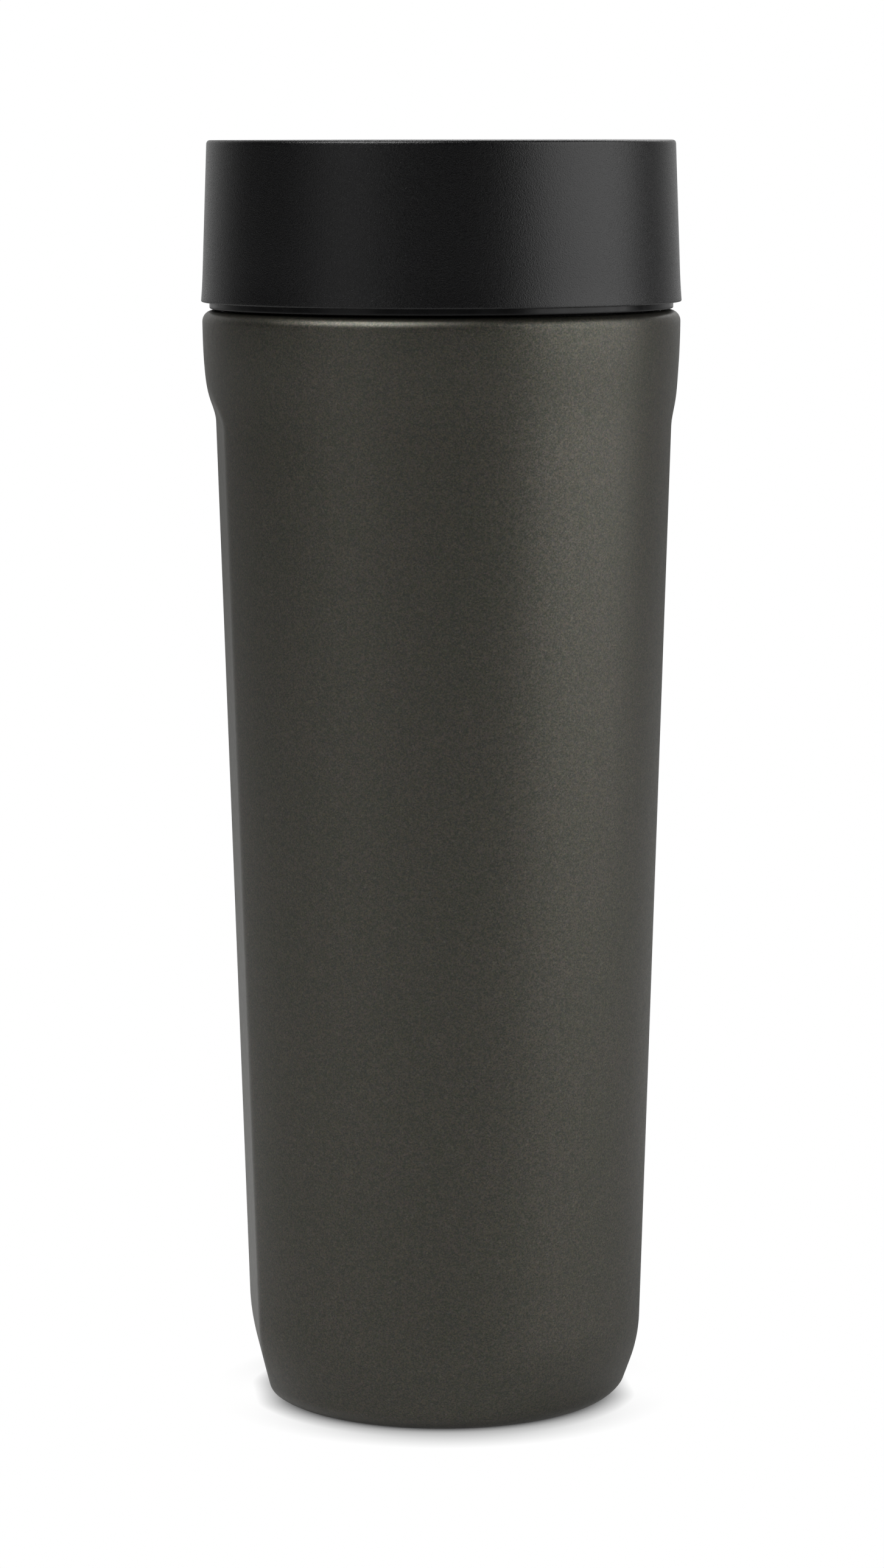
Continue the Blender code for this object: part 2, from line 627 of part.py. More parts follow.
def valve_seal(plunger):
    inner = plug_bore_r() - SEAT_WIDTH + 2 * GAP
    outer = inner + VALVE_SEAL_WIDTH
    low = VALVE_FLANGE_TOP + GAP
    mid = (low + VALVE_SEAL_TOP) / 2
    profile = [(inner, low), (outer - GAP, low), (outer, mid), (outer - 2 * GAP, VALVE_SEAL_TOP)]
    profile += [(inner, VALVE_SEAL_TOP)]
    return turned("valve_seal", profile, RING_SEGMENTS, SILICONE, plunger)


def stem_screw(plunger):
    seat = VALVE_BOTTOM - GAP
    low = seat - SCREW_HEAD_HEIGHT
    top = STEM_BOTTOM + SCREW_REACH - GAP
    profile = [(0.0, low + SCREW_SOCKET_DEPTH), (SCREW_SOCKET_R, low + SCREW_SOCKET_DEPTH)]
    profile += [(SCREW_SOCKET_R, low), (SCREW_HEAD_R - GAP, low), (SCREW_HEAD_R, low + GAP)]
    profile += [(SCREW_HEAD_R, seat), (SCREW_R, seat), (SCREW_R, top), (0.0, top)]
    return turned("stem_screw", profile, SMALL_SEGMENTS, BRIGHT_STEEL, plunger)


def stem_seal(lid):
    centre = STEM_R + GAP + SEAL_SECTION / 2
    height = HUB_FLOOR_TOP + GAP + SEAL_SECTION / 2
    return o_ring("stem_seal", centre, height, SEAL_SECTION, SMALL_SEGMENTS, lid)


def button_wiper(lid):
    centre = HUB_R + GAP + WIPER_SECTION / 2
    return o_ring("button_wiper", centre, HUB_TOP - WIPER_SECTION, WIPER_SECTION, SMALL_SEGMENTS, lid)


def spring_seat(lid):
    inner = STEM_R + GAP + SEAL_SECTION + GAP
    low = HUB_FLOOR_TOP + GAP
    outer = HUB_BORE - GAP
    profile = [(inner, low), (outer, low), (outer, low + SEAT_WASHER), (inner, low + SEAT_WASHER)]
    return turned("spring_seat", profile, SMALL_SEGMENTS, BRIGHT_STEEL, lid)


def return_spring(lid):
    """Coil spring between its washer and the cam rotor, as a curve with a round bevel."""
    half = SPRING_WIRE / 2
    low = HUB_FLOOR_TOP + GAP + SEAT_WASHER + GAP + half
    high = ROTOR_BOTTOM - GAP - half
    radius = HUB_BORE - GAP - SPRING_WIRE
    count = round(SPRING_TURNS * SPRING_SEGMENTS)
    curve = bpy.data.curves.new("return_spring", "CURVE")
    curve.dimensions = "3D"
    curve.bevel_depth = half
    curve.bevel_resolution = 1
    curve.use_fill_caps = True
    spline = curve.splines.new("POLY")
    spline.points.add(count)
    for i, point in enumerate(spline.points):
        angle = 2 * pi * SPRING_TURNS * i / count
        point.co = (radius * cos(angle), radius * sin(angle), low + (high - low) * i / count, 1.0)
    made = bpy.data.objects.new("return_spring", curve)
    bpy.context.scene.collection.objects.link(made)
    curve.materials.append(material("return_spring_steel", *BRIGHT_STEEL[1:]))
    made.parent = lid
    return made


def empty(name, parent=None):
    """An empty on the Z axis, which every joint of the lid turns about or slides along."""
    made = bpy.data.objects.new(name, None)
    bpy.context.scene.collection.objects.link(made)
    made.parent = parent
    return made


def main():
    for leftover in list(bpy.data.objects):
        bpy.data.objects.remove(leftover)
    carrier = empty("lid_lift_axis")
    lid = empty("lid_turn_axis", carrier)
    plunger = empty("button_press_axis", lid)
    rotor = empty("cam_turn_axis", plunger)
    outer_shell()
    inner_liner()
    base_plate()
    vacuum_seal()
    getter()
    lid_gasket(carrier)
    for make in (lid_shell, lid_plug, shell_seal, hub_spider, cam_sleeve, stem_seal, button_wiper):
        make(lid)
    spring_seat(lid)
    return_spring(lid)
    for make in (button_cap, valve_stem, valve_disc, valve_seal, stem_screw):
        make(plunger)
    cam_rotor(rotor)


main()
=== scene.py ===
"""Looks of an insulated tumbler with a screw-in sip lid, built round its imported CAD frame.

Metres, +Z up, in the CAD frame: the origin is the centre of the foot, on the floor. Most pieces are
turned round the Z axis: the outline is read from the CAD node that the piece stands for, its corners
are rounded, and it is spun with fine facets. The outer shell's wall follows the sizes that shape it in
the CAD, and the spring is wound as a wire. Lengths are in millimetres and become metres through MM.
"""

import json
from math import cos, floor, pi, radians, sin, sqrt, tan

import bmesh
import bpy
import numpy as np
from mathutils import Matrix, Vector


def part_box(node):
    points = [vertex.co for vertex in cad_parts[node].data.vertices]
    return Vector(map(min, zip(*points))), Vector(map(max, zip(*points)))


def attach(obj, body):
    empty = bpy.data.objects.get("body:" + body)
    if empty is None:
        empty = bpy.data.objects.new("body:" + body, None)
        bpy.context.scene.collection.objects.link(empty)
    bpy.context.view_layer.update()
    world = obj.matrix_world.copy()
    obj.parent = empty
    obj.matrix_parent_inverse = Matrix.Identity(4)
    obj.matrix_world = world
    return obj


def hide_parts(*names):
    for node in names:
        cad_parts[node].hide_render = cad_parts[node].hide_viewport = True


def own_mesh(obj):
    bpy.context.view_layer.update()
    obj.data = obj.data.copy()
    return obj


MM = 0.001
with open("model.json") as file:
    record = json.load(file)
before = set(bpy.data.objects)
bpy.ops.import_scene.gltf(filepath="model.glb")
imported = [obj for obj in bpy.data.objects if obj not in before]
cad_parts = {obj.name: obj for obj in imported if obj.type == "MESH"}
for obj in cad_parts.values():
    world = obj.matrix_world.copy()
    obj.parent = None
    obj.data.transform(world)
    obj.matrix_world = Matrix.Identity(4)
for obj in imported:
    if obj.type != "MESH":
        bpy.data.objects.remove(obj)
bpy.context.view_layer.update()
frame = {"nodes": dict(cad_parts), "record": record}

# Facets and roundings of the fine pieces
SHELL_SEGMENTS = 360
PIECE_SEGMENTS = 240
SMALL_SEGMENTS = 120
CORNER_SIZE = 0.3 * MM
SMALL_CORNER = 0.12 * MM
BEAD_CORNER = 0.4 * MM
PAN_CORNER = 0.15 * MM
PELLET_CORNER = 0.2 * MM
BUTTON_CORNER = 0.4 * MM
CORNER_SHARE = 0.42
CORNER_STEPS = 6
HOLD = 0.25 * MM
LONG_SIDE = 4
SOFT_TURN = radians(35)
SHARP_TURN = radians(40)
STRAIGHT = 0.004
HARDLY = 0.001 * MM
SECTION_ANGLE = radians(0.02)

# Wall of the body, as the CAD shapes it
BODY_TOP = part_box("outer_shell")[1].z
COLLAR_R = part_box("outer_shell")[1].x
WALL = 0.5 * MM
GAP = 0.3 * MM
COLLAR_HEIGHT = 5.2 * MM
BARREL_DROP = 11.2 * MM
BARREL_TAPER = radians(3.73)
BODY_TAPER = radians(1.683)
CHAMFER_START = 11.7 * MM
CHAMFER_TAPER = radians(22.0)
BEND_HALF = 4.2 * MM
FOOT_CORNER = 3.3 * MM
FOOT_LIP = 2.6 * MM
SHOULDER_RADIUS = 1.9 * MM
FLAT_DEPTH = 2.74 * MM
FLAT_DROP = 17.6 * MM
FLAT_TAPER = radians(1.85)
FLAT_CHAMFER_TAPER = radians(14.1)
RUNOUT_START = 7.1 * MM
RUNOUT_RADIUS = 23.9 * MM
RUNOUT_EASE = 3.0 * MM
FLAT_EDGE_BLEND = 0.4 * MM
CREASE_BLEND = 0.8 * MM
NECK_STEP = 3.85 * MM
NECK_R = COLLAR_R - NECK_STEP
SHEET_EDGE = 0.1 * MM
CHAMFER_END = 20 * MM
ARC_STEP = 9

# Thread between the neck and the lid
THREAD_STARTS = 3
THREAD_LEAD = 12.0 * MM
THREAD_DEPTH = 1.1 * MM
THREAD_ROOT_HALF = 0.75 * MM
THREAD_CREST_HALF = 0.35 * MM
THREAD_STEPS = 17
THREAD_SHARP = radians(80)
THREAD_STEPS_A_TURN = 14 * THREAD_STARTS
THREAD_STEP_ANGLE = 2 * pi / THREAD_STEPS_A_TURN
THREAD_RISE = THREAD_LEAD * THREAD_STEPS * THREAD_STEP_ANGLE / (2 * pi)
THREAD_DROP = 2.75 * MM
NECK_THREAD_Z = BODY_TOP - THREAD_DROP - THREAD_RISE
PLUG_THREAD_Z = NECK_THREAD_Z - THREAD_LEAD / THREAD_STARTS / 2
PLUG_CLEARANCE = 1.5 * MM
PLUG_THREAD_R = NECK_R - PLUG_CLEARANCE
THREAD_SPACING = 0.1 * MM

# Click mechanism, spring, spokes and screw
CAM_TEETH = 8
CAM_TOOTH = 1.2 * MM
CAM_CORNER = 0.2 * MM
SPRING_WIRE = 1.0 * MM
SPRING_TURNS = 5.5
SPRING_STEPS = 72
SPRING_TIP_STEPS = 4
SPRING_TIP = 0.25
SPRING_END_TURNS = 0.75
SPRING_END_RISE = 0.05
WIRE_FACETS = 16
SPOKES = 3
SPOKE_WIDTH = 3.2 * MM
SPOKE_LIFT = 0.05 * MM
SPOKE_START = 10.5 * MM
SPOKE_ROUND = 0.5 * MM
SPOKE_ROUND_STEPS = 5
SPIDER_RING = 4.0 * MM
SOCKET_R = 1.6 * MM
SOCKET_DEPTH = 1.0 * MM
SOCKET_MARGIN = 0.05 * MM

# Moulded materials: colour, roughness, width of the grain and its depth
MATTE_BLACK = (0.003, 0.003, 0.0033), 0.28, 0.20 * MM, 0.022 * MM
GLOSS_BLACK = (0.004, 0.004, 0.0045), 0.26, 2.5 * MM, 0.004 * MM
GREY_PLASTIC = (0.16, 0.16, 0.165), 0.42, 0.3 * MM, 0.006 * MM
WHITE_ACETAL = (0.72, 0.72, 0.69), 0.34, 0.4 * MM, 0.004 * MM
SILICONE = (0.095, 0.095, 0.1), 0.60, 0.5 * MM, 0.008 * MM
SEALING_GLASS = (0.20, 0.235, 0.225), 0.16, 1.2 * MM, 0.03 * MM
SINTERED = (0.12, 0.12, 0.13), 0.80, 0.35 * MM, 0.05 * MM
MOULDED_DRIFT = 9 * MM
MOULDED_TONE = 0.12
MOULDED_GRAIN = 0.15
MOULDED_ROUGH = 0.05
GLOSS_SPECULAR = 0.3

# Turned metals: colour, roughness, width of the lines and their depth
SATIN_STEEL = (0.60, 0.59, 0.57), 0.30, 0.22 * MM, 0.004 * MM
BRIGHT_STEEL = (0.66, 0.66, 0.65), 0.20, 0.3 * MM, 0.002 * MM
METAL_DRIFT = 7 * MM
METAL_TONES = 0.93, 1.05
METAL_LINES = 0.1
METAL_ROUGH = 0.08
METAL_ARC = 1.5

# Metallic paint
PAINT_TONES = (0.0860, 0.0820, 0.0670), (0.0815, 0.0803, 0.0634)
PAINT_DRIFT = 11 * MM
PAINT_METALLIC = 0.9
PAINT_ROUGHNESS = 0.41, 0.47
PAINT_CLOUD = 1.5 * MM
COAT_WEIGHT = 0.4
COAT_ROUGHNESS = 0.35
FLAKE_SIZE = 0.20 * MM
FLAKE_CONTRAST = 0.27
FLAKE_HUE = (0.24, 0.16, 0.24)
FLAKE_HUE_LEAST = (0.88, 0.92, 0.88)
FLAKE_TILT = 0.055
SPARKLE_SIZE = 0.32 * MM
SPARKLE = {"From Min": 0.94, "From Max": 0.97, "To Max": 0.25}
PEEL_SIZE = 1.1 * MM
PEEL_DEPTH = 0.003 * MM

# Soft lights: degrees to the right of the camera, then height, distance, width and tallness in metres,
# then brightness
PANELS = {
    "key_softbox": (75, 0.48, 1.2, 1.45, 1.5, 1.72),
    "left_panel": (-46, 0.5, 1.2, 0.6, 1.4, 0.33),
    "top_light": (-48, 1.15, 0.75, 0.9, 0.85, 5.2),
    "back_light": (165, 0.9, 1.1, 0.9, 0.6, 1.6),
}
PANEL_AIM = Vector((0, 0, 0.1))
BACK_GLOW = {"From Min": 0.45, "From Max": 1.0, "To Min": 0.035, "To Max": 0.62}

# Floor
FLOOR_RADIUS = 4.0
FLOOR_SEGMENTS = 96
FLOOR_ALBEDO = 0.48
FLOOR_GLOW = 0.1
SHADE_WIDE = 9.5 * MM
SHADE_TIGHT = 3.5 * MM
SHADE_POWER = 0.7
SHADE_SAMPLES = 24
WHITE = (1.0, 1.0, 1.0, 1.0)

# Camera
CAMERA_DISTANCE = 859.1 * MM
CAMERA_HEIGHT = 221.19 * MM
CAMERA_AZIMUTH = radians(5.665)
CAMERA_PITCH = radians(7.4955)
CAMERA_ROLL = radians(0.077)
CAMERA_LENS = 113.77
SENSOR = 36.0
CLIP_START = 10 * MM


# Outlines read from the CAD


def section(node, angle):
    """Closed outlines, as (across, height) points, where a plane through the Z axis cuts a CAD node."""
    mesh = frame["nodes"][node].data
    mesh.calc_loop_triangles()
    points = np.empty(3 * len(mesh.vertices))
    mesh.vertices.foreach_get("co", points)
    points = points.reshape(-1, 3)
    triangles = np.empty(3 * len(mesh.loop_triangles), int)
    mesh.loop_triangles.foreach_get("vertices", triangles)
    triangles = triangles.reshape(-1, 3)
    beside = points[:, 1] * cos(angle) - points[:, 0] * sin(angle) >= 0
    crossed = beside[triangles].any(axis=1) & ~beside[triangles].all(axis=1)
    neighbours = {}
    for triangle in triangles[crossed]:
        ends = []
        for a, b in zip(triangle, np.roll(triangle, -1)):
            if beside[a] != beside[b]:
                ends.append(tuple(sorted((tuple(points[a]), tuple(points[b])))))
        neighbours.setdefault(ends[0], []).append(ends[1])
        neighbours.setdefault(ends[1], []).append(ends[0])
    loops = []
    while neighbours:
        edge = next(iter(neighbours))
        loop = []
        while edge in neighbours:
            loop.append(crossing(edge, angle))
            options = neighbours.pop(edge)
            edge = next((e for e in options if e in neighbours), None)
        loops.append(loop)
    return loops


def crossing(edge, angle):
    """Where an edge meets the section's plane, as (across, height)."""
    (ax, ay, az), (bx, by, bz) = edge
    start = ay * cos(angle) - ax * sin(angle)
    end = by * cos(angle) - bx * sin(angle)
    share = start / (start - end)
    x = ax + (bx - ax) * share
    y = ay + (by - ay) * share
    return Vector((x * cos(angle) + y * sin(angle), az + (bz - az) * share))


def outlines(node, angle=SECTION_ANGLE):
    """The section's outlines on one side of the axis, without points that lie on a straight line."""
    kept = []
    for loop in section(node, angle):
        loop = right_of_axis(loop)
        if loop:
            kept.append(without_straight_points(loop))
    return kept


def right_of_axis(loop):
    clipped = []
    for i, point in enumerate(loop):
        before = loop[i - 1]
        if (before.x > 0) != (point.x > 0):
            clipped.append(before.lerp(point, before.x / (before.x - point.x)))
        if point.x > 0:
            clipped.append(point)
    return clipped


def without_straight_points(loop):
    apart = [p for i, p in enumerate(loop) if (p - loop[i - 1]).length > HARDLY]
    kept = []
    for i, point in enumerate(apart):
        before = apart[i - 1]
        after = apart[(i + 1) % len(apart)]
        if abs((point - before).normalized().cross((after - point).normalized())) > STRAIGHT:
            kept.append(point)
    return kept


def rounded(loop, size=CORNER_SIZE):
    """The outline with a curve at each corner. A corner of a faceted curve becomes smooth all the way."""
    made = []
    for i, corner in enumerate(loop):
        before = loop[i - 1] - corner
        after = loop[(i + 1) % len(loop)] - corner
        if corner.x < HARDLY:
            made.append(corner)
            continue
        shorter = min(before.length, after.length)
        turn = (-before).angle(after)
        reach = shorter / 2 if turn < SOFT_TURN else min(size, CORNER_SHARE * shorter)
        start = corner + before.normalized() * reach
        end = corner + after.normalized() * reach
        if before.length > LONG_SIDE * (reach + HOLD):
            made.append(start + before.normalized() * HOLD)
        for k in range(CORNER_STEPS + 1):
            t = k / CORNER_STEPS
            made.append(start * (1 - t) ** 2 + corner * 2 * t * (1 - t) + end * t * t)
        if after.length > LONG_SIDE * (reach + HOLD):
            made.append(end + after.normalized() * HOLD)
    return made


def divided(loop, low, high, radius, spacing):
    """The outline with close points along the upright wall at this radius, between two heights."""
    made = []
    for i, point in enumerate(loop):
        made.append(point)
        after = loop[(i + 1) % len(loop)]
        upright = abs(point.x - radius) < HARDLY and abs(after.x - radius) < HARDLY
        if not upright:
            continue
        count = int(abs(after.y - point.y) / spacing)
        for k in range(1, count):
            between = point.lerp(after, k / count)
            if low < between.y < high:
                made.append(between)
    return made


# Meshes


def spun(loops, segments, change=None):
    """A bmesh of the outlines turned round the Z axis. change(angle, r, z) moves single points."""
    vertices = []
    faces = []
    turns = [2 * pi * i / segments for i in range(segments)]
    for loop in loops:
        rings = []
        for r, z in loop:
            first = len(vertices)
            if r < HARDLY:
                vertices.append((0.0, 0.0, z))
                rings.append([first] * segments)
                continue
            for angle in turns:
                moved_r, moved_z = change(angle, r, z) if change else (r, z)
                vertices.append((moved_r * cos(angle), moved_r * sin(angle), moved_z))
            rings.append(list(range(first, first + segments)))
        for ring, following in zip(rings, rings[1:] + rings[:1]):
            for i in range(segments):
                j = (i + 1) % segments
                corners = dict.fromkeys((ring[i], ring[j], following[j], following[i]))
                if len(corners) > 2:
                    faces.append(tuple(corners))
    mesh = bpy.data.meshes.new("spun")
    mesh.from_pydata(vertices, [], faces)
    work = bmesh.new()
    work.from_mesh(mesh)
    bpy.data.meshes.remove(mesh)
    bmesh.ops.recalc_face_normals(work, faces=work.faces)
    return work


def linked(name, work, sharp=SHARP_TURN):
    mesh = bpy.data.meshes.new(name)
    work.to_mesh(mesh)
    work.free()
    mesh.shade_smooth()
    mesh.set_sharp_from_angle(angle=sharp)
    made = bpy.data.objects.new(name, mesh)
    bpy.context.scene.collection.objects.link(made)
    return made


def body_of(node):
    bodies = frame["record"]["behaviour"]["bodies"]
    return next(body for body, members in bodies.items() if node in members)


def placed(made, node, look):
    """Gives a piece its material, hangs it on the body it rides on, and hides the CAD node it stands for.
    """
    made.data.materials.clear()
    made.data.materials.append(look)
    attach(made, body_of(node))
    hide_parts(node)
    return made


def turned(node, look, segments=PIECE_SEGMENTS, size=CORNER_SIZE, change=None, angle=SECTION_ANGLE):
    """The fine piece of a CAD node that is the same all round, apart from what change does."""
    loops = [rounded(loop, size) for loop in outlines(node, angle)]
    return placed(linked(f"{node}_fine", spun(loops, segments, change)), node, look)


def smooth_step(x):
    x = min(max(x, 0.0), 1.0)
    return x * x * (3 - 2 * x)


# Body


def smooth_min(a, b, blend):
    share = max(blend - abs(a - b), 0.0) / blend
    return min(a, b) - share * share * blend / 4


def smooth_max(a, b, blend):
    return -smooth_min(-a, -b, blend)


def bend(height, line, corner, slope_below, slope_above):
    """What a parabolic bend adds to a straight line near a corner of the wall's profile."""
    if height >= corner + BEND_HALF:
        return line
    if height <= corner - BEND_HALF:
        return line + (slope_below - slope_above) * (height - corner)
    reach = corner + BEND_HALF - height
    return line - (slope_below - slope_above) * reach * reach / (4 * BEND_HALF)


def round_wall(z):
    """Radius of the round part of the body, before the foot's corner is rounded."""
    collar_end = BODY_TOP - COLLAR_HEIGHT
    radius = bend(z, COLLAR_R, collar_end, tan(BARREL_TAPER), 0.0)
    change = tan(BODY_TAPER) - tan(BARREL_TAPER)
    radius += bend(z, 0.0, collar_end - BARREL_DROP, change, 0.0)
    change = tan(CHAMFER_TAPER) - tan(BODY_TAPER)
    return radius + bend(z, 0.0, CHAMFER_START, change, 0.0)


def straight_flat(z):
    """Distance of the grip flat from the axis, without its run-out under the collar."""
    distance = COLLAR_R - FLAT_DEPTH + (z - BODY_TOP + FLAT_DROP) * tan(FLAT_TAPER)
    change = tan(FLAT_CHAMFER_TAPER) - tan(FLAT_TAPER)
    return distance + bend(z, 0.0, CHAMFER_START, change, 0.0)


def flat_wall(z):
    """Distance of the grip flat from the axis, with the arc that runs out under the collar."""
    below = BODY_TOP - RUNOUT_START - z
    if below <= 0:
        return COLLAR_R + FLAT_EDGE_BLEND
    if below >= RUNOUT_RADIUS:
        return straight_flat(z)
    run_out = COLLAR_R - RUNOUT_RADIUS + sqrt(RUNOUT_RADIUS**2 - below**2)
    run_out += FLAT_EDGE_BLEND * max(1 - below / RUNOUT_EASE, 0.0) ** 2
    return smooth_max(run_out, straight_flat(z), CREASE_BLEND)


def flat_sink(angle, z):
    """How far the grip flat lies inside the round wall, at this angle and height."""
    across = abs(cos(angle))
    full = round_wall(z)
    if across * full <= flat_wall(z) - FLAT_EDGE_BLEND:
        return 0.0
    return full - smooth_min(full, flat_wall(z) / across, FLAT_EDGE_BLEND)


def foot_rounding(z):
    if z >= FOOT_CORNER:
        return 0.0
    return FOOT_CORNER - sqrt(FOOT_CORNER**2 - (FOOT_CORNER - z) ** 2)


def stations(low, high, spacing):
    """Evenly spaced heights above low, up to high."""
    count = round((high - low) / spacing)
    return [low + (high - low) * i / count for i in range(1, count + 1)]


def wall_heights():
    """Heights of the shell's rings from the foot's corner to the shoulder, closer where the wall bends."""
    crease = BODY_TOP - FLAT_DROP
    run_out = BODY_TOP - RUNOUT_START
    ends_and_spacings = [
        (CHAMFER_END, 0.8 * MM),
        (crease - 4 * MM, 4 * MM),
        (crease + 2 * MM, 0.25 * MM),
        (run_out - 2 * MM, 0.7 * MM),
        (run_out + 0.5 * MM, 0.12 * MM),
        (BODY_TOP - SHOULDER_RADIUS, 0.6 * MM),
    ]
    heights = [FOOT_CORNER]
    for end, spacing in ends_and_spacings:
        heights += stations(heights[-1], end, spacing)
    return heights


def outer_shell(look):
    foot_inner = straight_flat(0.0) - FOOT_CORNER - FOOT_LIP
    centre_r = COLLAR_R - SHOULDER_RADIUS
    centre_z = BODY_TOP - SHOULDER_RADIUS
    lip = NECK_R + WALL + GAP
    heights = wall_heights()
    corner = [FOOT_CORNER * (1 - cos(radians(a))) for a in range(0, 90, ARC_STEP)]
    outline = [(round_wall(z) - foot_rounding(z), z) for z in corner + heights]
    for a in range(ARC_STEP, 90 + ARC_STEP, ARC_STEP):
        turn = radians(a)
        outline.append((centre_r + SHOULDER_RADIUS * cos(turn), centre_z + SHOULDER_RADIUS * sin(turn)))
    outline += [(lip + 3 * SHEET_EDGE, BODY_TOP), (lip + SHEET_EDGE, BODY_TOP)]
    outline += [(lip, BODY_TOP - SHEET_EDGE), (lip, BODY_TOP - WALL), (centre_r, BODY_TOP - WALL)]
    outline += [(round_wall(z) - WALL, z) for z in reversed(heights)]
    outline += [(round_wall(z) - foot_rounding(z) - WALL, z) for z in (2 * WALL, WALL)]
    outline += [(foot_inner, WALL), (foot_inner, SHEET_EDGE), (foot_inner + SHEET_EDGE, 0.0)]

    def pressed(angle, r, z):
        if r < foot_inner + GAP:
            return r, z
        return r - flat_sink(angle, z), z

    work = spun([outline], SHELL_SEGMENTS, pressed)
    return placed(linked("outer_shell_fine", work), "outer_shell", look)


def ridge(angle, z, low_z):
    """Height of the thread's ridges above their wall: screw lines with sloped flanks and faded ends."""
    highest = 0.0
    for start in range(THREAD_STARTS):
        first = start * 2 * pi / THREAD_STARTS + THREAD_STEP_ANGLE / 2
        steps = ((angle - first) % (2 * pi)) / THREAD_STEP_ANGLE
        if steps > THREAD_STEPS:
            continue
        away = abs(z - low_z - THREAD_RISE * steps / THREAD_STEPS)
        flank = (THREAD_ROOT_HALF - away) / (THREAD_ROOT_HALF - THREAD_CREST_HALF)
        fade = smooth_step(min(steps, THREAD_STEPS - steps))
        highest = max(highest, THREAD_DEPTH * smooth_step(flank) * fade)
    return highest


def threaded(node, look, wall_r, low_z, outward):
    """The fine piece of a CAD node with the thread's ridges on its wall, outward (1) or inward (-1)."""
    low = low_z - 2 * THREAD_ROOT_HALF
    high = low_z + THREAD_RISE + 2 * THREAD_ROOT_HALF

    def change(angle, r, z):
        if abs(r - wall_r) > HARDLY or not low < z < high:
            return r, z
        return r + outward * ridge(angle, z, low_z), z

    loops = []
    for loop in outlines(node):
        wall = [on_wall(p, wall_r, low, high) for p in loop]
        smooth = rounded(without_straight_points(wall))
        loops.append(divided(smooth, low, high, wall_r, THREAD_SPACING))
    made = linked(f"{node}_fine", spun(loops, PIECE_SEGMENTS, change), THREAD_SHARP)
    return placed(made, node, look)


def on_wall(point, wall_r, low, high):
    """The point, put back on the threaded wall where it belongs to a ridge or the wall's own facets."""
    near = abs(point.x - wall_r) < THREAD_DEPTH + 2 * HARDLY
    if near and low < point.y < high:
        return Vector((wall_r, point.y))
    if abs(point.x - wall_r) < 5 * HARDLY:
        return Vector((wall_r, point.y))
    return point


# Lid mechanism


def toothed(node, tip_angle, up):
    """Cam teeth as a change of height: the tips stay, and the wall shortens towards each valley."""
    low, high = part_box(node)
    fixed = low.z if up else high.z
    height = high.z - low.z

    def change(angle, r, z):
        position = (angle - tip_angle) * CAM_TEETH / (2 * pi)
        from_tip = abs(position - floor(position + 0.5)) * 2
        return r, fixed + (z - fixed) * (1 - CAM_TOOTH * from_tip / height)

    return change


def cam_rotor(look):
    change = toothed("cam_rotor", 0.0, True)
    turned("cam_rotor", look, size=CAM_CORNER, change=change)


def cam_sleeve(look):
    tip = pi / CAM_TEETH
    change = toothed("cam_sleeve", tip, False)
    turned("cam_sleeve", look, size=CAM_CORNER, change=change, angle=tip + SECTION_ANGLE)


def spoke(angle, low, high, end):
    """A bar with rounded long edges, from the hub's tube into the ring."""
    work = bmesh.new()
    bmesh.ops.create_cube(work, size=1.0)
    for vertex in work.verts:
        vertex.co.x = end if vertex.co.x > 0 else SPOKE_START
        vertex.co.y *= SPOKE_WIDTH
        vertex.co.z = high if vertex.co.z > 0 else low
    edges = [e for e in work.edges if abs(e.verts[0].co.x - e.verts[1].co.x) > HARDLY]
    steps = SPOKE_ROUND_STEPS
    bmesh.ops.bevel(work, geom=edges, offset=SPOKE_ROUND, segments=steps, profile=0.5, affect="EDGES")
    work.transform(Matrix.Rotation(angle, 4, "Z"))
    return work


def hub_spider(look):
    """Guide tube and ring, read between two spokes, with the spokes joined to them."""
    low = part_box("hub_spider")[0].z
    loops = [rounded(loop) for loop in outlines("hub_spider", pi + SECTION_ANGLE)]
    made = linked("hub_spider_fine", spun(loops, PIECE_SEGMENTS))
    top = min(max(p.y for p in loop) for loop in loops)
    outer = max(p.x for loop in loops for p in loop)
    for i in range(SPOKES):
        bar = spoke(2 * pi * i / SPOKES, low + SPOKE_LIFT, top - GAP, outer - SPIDER_RING / 2)
        union(made, linked(f"spoke_{i + 1}", bar))
    placed(made, "hub_spider", look)


def union(made, tool):
    modifier = made.modifiers.new("union", "BOOLEAN")
    modifier.operation = "UNION"
    modifier.solver = "EXACT"
    modifier.object = tool
    bpy.context.view_layer.update()
    graph = bpy.context.evaluated_depsgraph_get()
    joined = bpy.data.meshes.new_from_object(made.evaluated_get(graph))
    made.modifiers.clear()
    made.data = joined
    bpy.data.objects.remove(tool)


def stem_screw(look):
    """Screw with a round head and a six-sided socket."""
    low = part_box("stem_screw")[0].z

    def change(angle, r, z):
        in_socket = r < SOCKET_R + SOCKET_MARGIN and z < low + SOCKET_DEPTH + HARDLY
        if not in_socket:
            return r, z
        sixth = (angle % (pi / 3)) - pi / 6
        return r * cos(pi / 6) / cos(sixth), z

    turned("stem_screw", look, SMALL_SEGMENTS, SMALL_CORNER, change)


